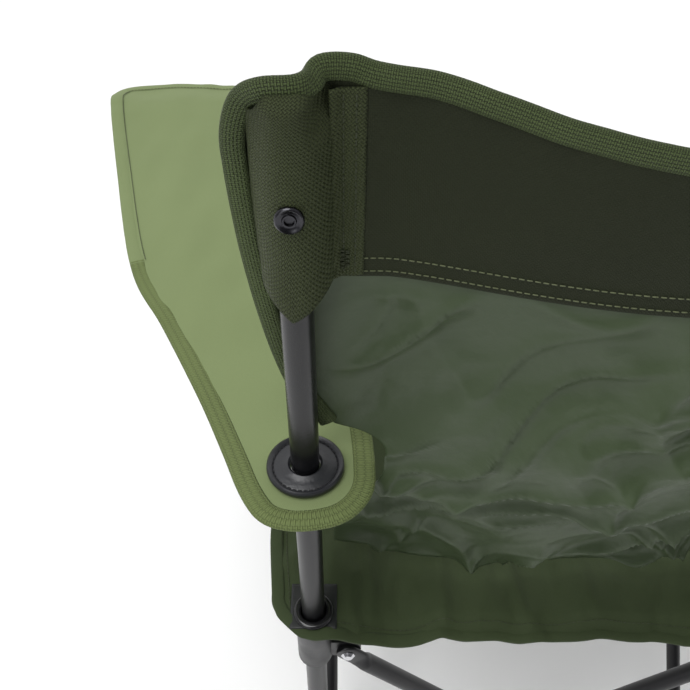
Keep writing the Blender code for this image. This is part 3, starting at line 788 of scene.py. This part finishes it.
def makeArmrest(side):
    sideName = "Left" if side > 0 else "Right"
    body = f"rear_{sideName.lower()}_slider"

    def spotOf(point, lift=0.0):
        return Vector((side * (postX + point[0]), postY - point[1], armHeight(point[0], point[1]) + lift))

    def flatRail(points):
        return Rail([(out, forward, 0.0) for out, forward in points])

    rearRail, outerRail = flatRail(armRearEdge), flatRail(armOuterEdge)
    frontRail, innerRail = flatRail(armFrontEdge[::-1]), flatRail(armInnerEdge)

    def blended(s, t):
        # a patch between four edges
        ends = [armRearEdge[0], armRearEdge[-1], armFrontEdge[-1], armFrontEdge[0]]
        a, b, c, d = (Vector((*e, 0.0)) for e in ends)
        across = rearRail.at(s).lerp(frontRail.at(s), t)
        along = innerRail.at(t).lerp(outerRail.at(t), s)
        flat = a.lerp(b, s).lerp(c.lerp(d, s), t)
        return across + along - flat

    def place(u, v):
        spot = blended((u + 1) / 2, (v + 1) / 2)
        return spotOf(spot)

    hole = [(Vector((side * postX, postY, arm["rear"])), postRadius + 0.0035)]
    sheet = formed(
        f"armCloth{sideName}", 70, 150, place, (0.15, 0.50), cloths["armOxfordPaintedLight"], body, arm["thick"],
        hole=hole,
    )
    if side < 0:
        sheet.data.flip_normals()
    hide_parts(f"arm_cloth_{sideName.lower()}")
    pieces = [sheet]

    # the whole edge, from the middle of the inner side round the rear, the outer side and the front
    rear = armInnerEdge[3::-1] + armRearEdge[1:]
    around = rear + armOuterEdge[1:] + armFrontEdge[1:] + armInnerEdge[-2:3:-1]
    edge = Rail([(out, forward, 0.0) for out, forward in around], closed=True)
    tries = [k / 400 for k in range(401)]
    change = min(tries, key=lambda k: (edge.at(k) - Vector((*armOuterEdge[4], 0.0))).length)

    def insetLine(first, last, inset, lift, total=60):
        line = []
        for k in range(total + 1):
            share = first + (last - first) * k / total
            heading = edge.heading(min(max(share, 0.004), 0.996))
            line.append(spotOf(edge.at(share) + Vector((-heading.y, heading.x, 0.0)) * inset, lift))
        return Rail(line)

    tapeWidth = arm["tapeWidth"]
    up = Vector((0, 0, 1))
    for label, first, last, cloth, columns in (
        ("Binding", 0.0, change + 0.002, "armBindingPaintedLight", 360),
        ("Hem", change, 1.0, "armOxfordPaintedLight", 360),
    ):
        line = insetLine(first, last, tapeWidth / 2 - 0.001, 0.0)
        pieces.append(tape(f"arm{label}{sideName}", line, lambda s: up, tapeWidth, arm["tapeHeight"], columns,
                           cloths[cloth], body, 12, wobble=0.0004))

    hemRail = insetLine(change, 0.985, 0.0106, 0.0019)
    pieces.append(stitches(f"armSeam{sideName}", hemRail, body, "thread", 0.0032, 0.7, 0.0006))

    # the eyelet: a vinyl disc with a raised rim, a welt at the bore and a ring of stitches
    low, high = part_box(f"arm_eyelet_{sideName.lower()}")
    centre = Vector(((low.x + high.x) / 2, (low.y + high.y) / 2, low.z - 0.0016))
    bore = postRadius + 0.0006
    outer = (high.x - low.x) / 2
    profile = [
        (bore, 0.0), (bore, 0.0032), (bore + 0.0012, 0.0042), (bore + 0.0028, 0.0034),
        (bore + 0.005, 0.0026), (outer - 0.0046, 0.0026), (outer - 0.0036, 0.0020),
        (outer - 0.0028, 0.0032), (outer - 0.0012, 0.0040), (outer - 0.0002, 0.0032), (outer, 0.0016),
        (outer - 0.0006, 0.0),
    ]
    eyelet = spun(f"armEyelet{sideName}", profile, centre, (0, 0, 1), finishes["eyeletVinyl"], body, 96)
    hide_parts(f"arm_eyelet_{sideName.lower()}")
    turns = [2 * math.pi * k / 40 for k in range(40)]
    seamCentre = centre + Vector((0, 0, 0.0024))
    ring = [seamCentre + Vector((math.cos(a), math.sin(a), 0)) * (outer - 0.0037) for a in turns]
    stitches(f"armEyeletSeam{sideName}", Rail(ring, closed=True), body, "blackThread", 0.0030, 0.7, 0.0008)
    for piece in pieces:
        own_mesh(piece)


makeArmrest(1)
makeArmrest(-1)
print("armrests made")


# the seat: two halves that meet along a seam across the middle, with a bound edge and four corner patches

seat = {
    "top": 0.4235,
    "sag": 0.040,
    "thick": 0.0016,
    "half": postX + 0.0285,
    "front": postX + 0.030,
    "tapeWidth": 0.0095,
    "tapeHeight": 0.0036,
    "patch": 0.032,
    "rear": postX + 0.0215,
}
seatMiddleY = postY - postX  # the middle between the rear and the front corners


def seatHeight(x, y):
    level = postX - 0.025
    across = max(0.0, 1 - (x / level) ** 2) ** 1.2
    along = max(0.0, 1 - (y / level) ** 2) ** 1.2
    sag = seat["sag"] * (across * along + 0.2 * max(across * (1 - along), along * (1 - across)))
    return seat["top"] - sag


def seatPoint(u, v, lift=0.0):
    # u across, v from the front at -1 to the rear at 1; its corners are rounded
    flare = 0.014 * ease((1 - v) / 0.5)
    x = u * (seat["half"] + flare)
    y = v * (seat["rear"] if v > 0 else seat["front"])
    nearSide = max(0.0, abs(u) - 0.86) / 0.14
    nearEnd = max(0.0, abs(v) - 0.86) / 0.14
    shrink = 1 - 0.060 * (nearSide * nearEnd) ** 1.2
    x, y = x * shrink, y * shrink
    y *= 1 - 0.055 * (1 - u * u) * abs(v) ** 4
    x *= 1 - 0.055 * (1 - v * v) * abs(u) ** 3
    free = ease((1 - max(abs(u), abs(v))) / 0.06) if abs(v) < 0.97 else 0.4
    corner = ease((abs(u) - 0.72) / 0.1) * ease((abs(v) - 0.72) / 0.1)
    gather = noise.ridged_multi_fractal(Vector((x * 19 + 0.8 * y, y * 7, 8.0)), 0.9, 2.0, 3, 1.0, 2.0) - 1.1
    ripple = noise.noise(Vector((x * 26, y * 9, 2.5)))
    z = seatHeight(x, y) + (0.0085 * gather + 0.006 * ripple) * (0.35 + 0.65 * free) * (1 - corner)
    hang = 0.010 * (1 - corner) * ease((abs(v) - 0.90) / 0.10) * (1 - u * u) ** 0.3
    wave = 0.0028 * noise.noise(Vector((x * 34, v * 2, 6.0))) * ease((abs(v) - 0.85) / 0.15) * (1 - corner)
    return Vector((x, seatMiddleY + y + wave, z - hang + lift))


def makeSeat():
    cornerSpots = []
    for sideName, side in (("left", 1), ("right", -1)):
        low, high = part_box(f"seat_grommet_rear_{sideName}")
        cornerSpots.append(
            ((low + high) / 2, postRadius + 0.003, f"rear_{sideName}", f"rear_{sideName}_slider"),
        )
        low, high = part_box(f"seat_grommet_front_{sideName}")
        cornerSpots.append(
            ((low + high) / 2, (high.x - low.x) / 2 - 0.0052, f"front_{sideName}", f"{sideName}_arm_post"),
        )
    holes = [(spot, bore) for spot, bore, _, _ in cornerSpots]
    halves = (("Rear", 1, "left_outer_brace"), ("Front", -1, "left_inner_brace"))
    for name, way, body in halves:
        sheet = formed(
            f"seat{name}", 150, 76,
            lambda u, v, way=way: seatPoint(u, (v + way) / 2),
            (0.42, 0.21), cloths["seatOxford"], body, seat["thick"], hole=holes,
        )
        edge = []
        steps = 26
        for k in range(steps + 1):  # up one side, along the end and down the other side
            edge.append((0.985, way * k / steps * 0.93))
        for k in range(-steps, steps + 1):
            turn = k / steps
            edge.append((-turn * 0.93, way * 0.985))
        for k in range(steps, -1, -1):
            edge.append((-0.985, way * k / steps * 0.93))
        rail = Rail([seatPoint(u, v, 0.0004) for u, v in edge])
        bound = tape(
            f"seatBinding{name}", rail, lambda s: Vector((0, 0, 1)), seat["tapeWidth"], seat["tapeHeight"],
            620, cloths["seatOxford"], body, 12, wobble=0.0007,
        )
        inner = [(u * 0.962, v * 0.962) for u, v in edge]
        sewn = stitches(
            f"seatSeam{name}", Rail([seatPoint(u, v, 0.0016) for u, v in inner]), body, "thread", 0.0033,
            0.7, 0.0006,
        )
        for piece in (sheet, bound, sewn):
            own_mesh(piece)
    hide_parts("seat_cloth")

    for spot, bore, name, body in cornerSpots:
        half = seat["patch"] / 2
        label = "".join(word.capitalize() for word in name.split("_"))
        low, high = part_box(f"seat_grommet_{name}")
        size = max(half, (high.x - low.x) / 2 + 0.001)

        def patchPlace(u, v, spot=spot, size=size):
            x, y = spot.x + u * size, spot.y + v * size * 1.05 - 0.0045
            return Vector((x, y, low.z + 0.0002 - 0.0006 * max(abs(u), abs(v)) ** 4))

        patch = formed(
            f"seatPatch{label}", 24, 24, patchPlace, (2 * size, 2.1 * size), finishes["patchVinyl"], body,
            0.0009, hole=[(spot, bore - 0.001)],
        )
        wide = (high.x - low.x) / 2
        ringBore = bore - 0.0022
        middleRadius, thickHalf = (wide + ringBore) / 2, (wide - ringBore) / 2
        profile = [
            (middleRadius + thickHalf * math.cos(a), 0.0017 + 0.0021 * math.sin(a))
            for a in [2 * math.pi * k / 14 for k in range(14)]
        ]
        ring = spun(
            f"seatRing{label}", profile, Vector((spot.x, spot.y, low.z)), (0, 0, 1), finishes["glossRing"],
            body, 64,
        )
        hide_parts(f"seat_grommet_{name}")


makeSeat()
print("seat made")


# floor, light and camera

studio = {"floor": 6.0, "key": 1.9, "fill": 7.0, "sky": 0.9}
shot = {"place": (0.1682, 0.4837, 0.920), "tilt": 47.5, "lens": 39.92}
bm = bmesh.new()
bmesh.ops.create_grid(bm, x_segments=1, y_segments=1, size=studio["floor"])
floorMesh = bpy.data.meshes.new("floor")
bm.to_mesh(floorMesh)
bm.free()
floor = bpy.data.objects.new("floor", floorMesh)
floor.location.z = -0.0005
bpy.context.scene.collection.objects.link(floor)
floorPaint = shaderOf("floorPaint", (0.93, 0.93, 0.93), 0.9)[0]
floorMesh.materials.append(floorPaint)


def addLight(name, where, aim, size, power):
    light = bpy.data.lights.new(name, "AREA")
    light.shape = "DISK"
    light.size = size
    light.energy = power
    made = bpy.data.objects.new(name, light)
    made.location = where
    made.rotation_euler = (Vector(aim) - Vector(where)).to_track_quat("-Z", "Y").to_euler()
    bpy.context.scene.collection.objects.link(made)


sun = bpy.data.lights.new("key", "SUN")
sun.energy = studio["key"]
sun.angle = math.radians(40)
sunObject = bpy.data.objects.new("key", sun)
sunObject.rotation_euler = (math.radians(-12), math.radians(16), 0.0)
bpy.context.scene.collection.objects.link(sunObject)
addLight("fill", (1.3, 1.6, 1.7), (0.15, 0.2, 0.6), 1.2, studio["fill"])
world = bpy.data.worlds.new("studio")
world.use_nodes = True
skyTree = world.node_tree
sky = skyTree.nodes["Background"]
aim = skyTree.nodes.new("ShaderNodeTexCoord")
split = skyTree.nodes.new("ShaderNodeSeparateXYZ")
skyTree.links.new(aim.outputs["Generated"], split.inputs[0])
away = mathNode(skyTree, "ADD", mathNode(skyTree, "MULTIPLY", split.outputs[1], 0.5), 0.5)
wash = rampNode(
    skyTree, away, [(0.30, (1.0, 1.0, 1.0)), (0.62, (0.42, 0.42, 0.43)), (0.9, (0.12, 0.12, 0.13))],
)
skyTree.links.new(wash, sky.inputs["Color"])
sky.inputs["Strength"].default_value = studio["sky"]
bpy.context.scene.world = world
bpy.context.scene.view_settings.view_transform = "Standard"

camera = bpy.data.cameras.new("camera")
camera.sensor_width = 36.0
camera.lens = shot["lens"]
cameraObject = bpy.data.objects.new("camera", camera)
cameraObject.location = shot["place"]
cameraObject.rotation_euler = (math.radians(shot["tilt"]), 0.0, math.pi)
bpy.context.scene.collection.objects.link(cameraObject)
bpy.context.scene.camera = cameraObject
print("studio made")
